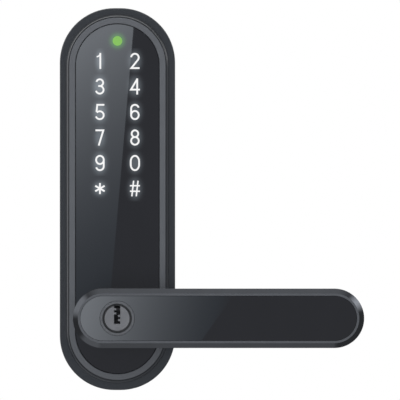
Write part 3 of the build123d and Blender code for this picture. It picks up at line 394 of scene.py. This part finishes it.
# Kind of finish and its values, by the record's material slots
SLOTS = {
    "graphite_paint": (powder_coat, dict(color=(0.0228, 0.0266, 0.0328), roughness=0.18, specular=0.5)),
    "satin_frame": (satin_metal, dict(color=(0.0995, 0.1065, 0.119), flat=(0.50, 0.12), edge=(0.45, 0.9))),
    "black_glass": (lit_glass, dict(color=(0.0122, 0.0125, 0.0163), roughness=0.006, smudge=0.014)),
    "legend_white": (lamp_window, dict(color=(0.02, 0.02, 0.02), light=WHITE, strength=0.90, dimmest=0.95)),
    "status_green": (
        lamp_window, dict(color=(0.02, 0.05, 0.01), light=(0.19, 0.46, 0.07), strength=1.0, dimmest=0.92)
    ),
    "lever_paint": (
        satin_metal,
        dict(color=(0.0948, 0.101, 0.1128), flat=(0.34, 0.25), edge=(0.15, 1.0), stretch=(30.0, 1.0, 1.0)),
    ),
    "lever_gloss": (gloss, dict(color=(0.0110, 0.0112, 0.0144), roughness=0.006, smudge=0.012)),
    "cylinder_steel": (turned_metal, dict(color=(0.089, 0.094, 0.104), roughness=0.4, metallic=0.6)),
    "plug_steel": (turned_metal, dict(color=(0.121, 0.125, 0.137), roughness=0.45, metallic=0.4)),
    "steel": (metal, dict(color=(0.52, 0.52, 0.53), roughness=0.32, stretch=(1.0, 12.0, 1.0))),
    "black_steel": (metal, dict(color=(0.085, 0.085, 0.09), roughness=0.5)),
    "zinc_plate": (metal, dict(color=(0.50, 0.51, 0.52), roughness=0.42, grain=0.002, cloud=0.08)),
    "brass": (metal, dict(color=(0.70, 0.50, 0.22), roughness=0.3)),
    "rubber": (moulded, dict(color=(0.020, 0.020, 0.021), roughness=0.7, specular=0.25)),
    "clear_plastic": (clear_plastic, dict(color=(0.85, 0.87, 0.88), roughness=0.12)),
    "board_green": (circuit_board, dict(color=(0.012, 0.075, 0.028), roughness=0.35)),
    "black_plastic": (moulded, dict(color=(0.016, 0.016, 0.017), roughness=0.5)),
    "white_plastic": (moulded, dict(color=(0.75, 0.74, 0.70), roughness=0.45)),
}
finishes = {slot: make(slot, **values) for slot, (make, values) in SLOTS.items()}
for subpart in frame["record"]["subparts"]:
    mesh = frame["nodes"][subpart["node"]].data
    mesh.materials.clear()
    mesh.materials.append(finishes[subpart["material_slot"]])


def add_object(name, data):
    made = bpy.data.objects.new(name, data)
    scene.collection.objects.link(made)
    return made


def add_mesh(name, points, faces, material):
    mesh = bpy.data.meshes.new(name)
    mesh.from_pydata(points, [], faces)
    mesh.materials.append(material)
    return add_object(name, mesh)


def only_in_reflections(card):
    """Hides a card from every ray but glossy ones, which alone see it."""
    card.visible_camera = False
    card.visible_diffuse = False
    card.visible_transmission = False
    card.visible_volume_scatter = False
    card.visible_shadow = False


def front_plane(name, distance, half_size, material):
    """A card facing the lock. Its own coordinates are those of the point on the lock that mirrors it."""
    corners = [(i * half_size, 0.0, j * half_size) for i, j in SQUARE]
    card = add_mesh(name, corners, [(0, 1, 2, 3)], material)
    spread = distance / CAMERA_DISTANCE
    card.scale = (1 + spread, 1, 1 + spread)
    card.location = (-VIEW_CENTRE.x * spread, -distance, -VIEW_CENTRE.z * spread)
    only_in_reflections(card)
    return card


def front_card():
    """A dim window in front of the lock. Light round it fades from the upper left to the lower right."""
    half_size = 1.6
    window_x, window_z = 0.0565, 0.065
    window_half_width, window_half_height = 0.245, 0.270
    window_light = 0.42
    shaded_light, lit_light = 0.45, 4.8
    corner_slope, shaded_at, lit_at = 0.5, -0.25, 1.0
    material, graph = new_graph("front_card")
    x, _, z = graph.split(graph.place())
    in_width = graph.near(x, window_x, window_half_width)
    in_height = graph.near(z, window_z, window_half_height)
    in_window = graph.math("MULTIPLY", in_width, in_height)
    window = graph.math("MULTIPLY", in_window, window_light)
    to_corner = graph.lean(z, x, corner_slope)
    corner = graph.map_range(to_corner, shaded_at, lit_at, shaded_light, lit_light)
    surround = graph.math("MULTIPLY", corner, graph.math("SUBTRACT", 1.0, in_window))
    graph.end(graph.add(graph.emission(window, SOFTBOX_TINT), graph.emission(surround, WHITE)))
    front_plane("front_card", FRONT_CARD_DISTANCE, half_size, material)


def glow_card(name, node, distance, graph, material, lit, fade, brightest):
    """A clear card with a glow that one node alone mirrors, cooler towards its dim end."""
    half_size = 0.3
    cool_light, cool_reach = 0.1, 30.0
    bright = graph.math("MULTIPLY", fade, brightest)
    cool_spread = graph.math("MINIMUM", graph.math("MULTIPLY", fade, cool_reach), 1.0)
    cool = graph.math("MULTIPLY", cool_spread, cool_light)
    glows = [
        graph.emission(graph.math("MULTIPLY", lit, light), tint)
        for light, tint in ((bright, SOFTBOX_TINT), (cool, COOL_TINT))
    ]
    graph.end(graph.add(graph.outputs("ShaderNodeBsdfTransparent", {})[0], *glows))
    card = front_plane(name, distance, half_size, material)
    mirrors = bpy.data.collections.new(name)
    mirrors.objects.link(frame["nodes"][node])
    card.light_linking.receiver_collection = mirrors


def glass_glow():
    """On the glass: bright to the left of a leaning edge, fading downwards."""
    brightest = 3.01
    edge_slope, edge_place = 0.0865, -0.00487
    fade_slope, fade_end, fade_start, fade_power = 0.747, -0.0204, 0.1623, 2.46
    material, graph = new_graph("glass_glow")
    x, _, z = graph.split(graph.place())
    lit = graph.math("LESS_THAN", graph.lean(x, z, edge_slope), edge_place)
    share = graph.map_range(graph.lean(z, x, fade_slope), fade_end, fade_start)
    fade = graph.math("POWER", share, fade_power)
    glow_card("glass_glow", "touch_glass", GLASS_CARD_DISTANCE, graph, material, lit, fade, brightest)


def lever_glow():
    """On the lever's face: bright at the left, fading to the right up to a slanted edge."""
    brightest = 3.24
    edge_slope, edge_place = 0.705, 0.0544
    fade_slope, fade_end, fade_start, fade_power = 0.269, 0.0624, -0.0177, 1.63
    material, graph = new_graph("lever_glow")
    x, _, z = graph.split(graph.place())
    lit = graph.math("LESS_THAN", graph.lean(x, z, edge_slope), edge_place)
    share = graph.map_range(graph.lean(x, z, fade_slope), fade_end, fade_start)
    fade = graph.math("POWER", share, fade_power)
    glow_card("lever_glow", "lever_face", LEVER_CARD_DISTANCE, graph, material, lit, fade, brightest)


def ring_card():
    """A band round the lock, along the plane of the door, with softboxes that the chamfers mirror."""
    steps = 96
    front_edge, back_edge = -0.35, 0.2
    dim = 0.204
    # Direction in degrees anticlockwise from the lever's tip, half width of the full light,
    # half width of the whole glow, and brightness
    softboxes = [
        (31.5, 0, 24, 2.75),
        (90, 8, 66, 0.76),
        (154, 10, 32, 1.40),
        (239, 12, 34, 0.73),
        (270, 6, 18, 0.54),
    ]
    material, graph = new_graph("ring_card")
    x, _, z = graph.split(graph.place())
    direction = graph.math("ARCTAN2", z, x)
    light = dim
    for middle, full, whole, level in softboxes:
        turn = graph.math("SUBTRACT", direction, radians(middle))
        away = graph.math("ABSOLUTE", graph.math("WRAP", turn, pi, -pi))
        glow = graph.map_range(away, radians(whole), radians(full), interpolation_type="SMOOTHSTEP")
        light = graph.math("MAXIMUM", graph.math("MULTIPLY", glow, level), light)
    graph.end(graph.emission(light, WHITE))
    points = []
    faces = []
    for step in range(steps):
        angle = 2 * pi * step / steps
        across, up = RING_RADIUS * cos(angle), RING_RADIUS * sin(angle)
        points += [(across, front_edge, up), (across, back_edge, up)]
        after = (step + 1) % steps
        faces.append((2 * step, 2 * step + 1, 2 * after + 1, 2 * after))
    card = add_mesh("ring_card", points, faces, material)
    card.location.x = RING_MIDDLE
    only_in_reflections(card)


def floor():
    """A plain pale floor, below the photograph's view."""
    half_size = 0.5
    pale = (0.86, 0.86, 0.86)
    material = powder_coat(
        "floor", pale, roughness=0.8, specular=0.2, grain=0.002, cloud=0.12, relief=0.0001
    )
    corners = [(i * half_size, j * half_size, 0.0) for i, j in SQUARE]
    ground = add_mesh("floor", corners, [(0, 1, 2, 3)], material)
    ground.location = (VIEW_CENTRE.x, 0.0, FLOOR_HEIGHT)


def world():
    """White where it is seen or mirrored, and plain soft light otherwise."""
    soft_light, white_light = 0.60, 1.0
    scene.world = bpy.data.worlds.new("studio")
    scene.world.use_nodes = True
    graph = Graph(scene.world.node_tree)
    path = graph.outputs("ShaderNodeLightPath", {})
    seen = path["Is Camera Ray"]
    for kind in ("Is Glossy Ray", "Is Transmission Ray"):
        seen = graph.math("MAXIMUM", seen, path[kind])
    soft, white = (
        graph.outputs("ShaderNodeBackground", {"Color": (*WHITE, 1.0), "Strength": strength})[0]
        for strength in (soft_light, white_light)
    )
    mixed = graph.outputs("ShaderNodeMixShader", {"Fac": seen, 1: soft, 2: white})[0]
    graph.end(mixed, "ShaderNodeOutputWorld")


def key_light():
    """One wide soft lamp from the front, which reflections leave out."""
    place = Vector((-0.5, -3.0, -0.3))
    size, watts = 1.4, 29.0
    data = bpy.data.lights.new("key_light", "AREA")
    data.size = size
    data.energy = watts
    light = add_object("key_light", data)
    light.location = place
    light.rotation_euler = (VIEW_CENTRE - place).to_track_quat("-Z", "Y").to_euler()
    light.visible_glossy = False


def camera():
    """The photograph's view, at true scale in a plane between the door and the lever's face."""
    farthest = 50.0
    data = bpy.data.cameras.new("camera")
    data.sensor_width = SENSOR_MM
    data.lens = SENSOR_MM * (CAMERA_DISTANCE - TRUE_SCALE_DEPTH) / (IMAGE_PIXELS * PIXEL)
    data.clip_end = farthest
    scene.camera = add_object("camera", data)
    scene.camera.location = (VIEW_CENTRE.x, -CAMERA_DISTANCE, VIEW_CENTRE.z)
    scene.camera.rotation_euler = (radians(90), 0.0, 0.0)


front_card()
glass_glow()
lever_glow()
ring_card()
floor()
world()
key_light()
camera()
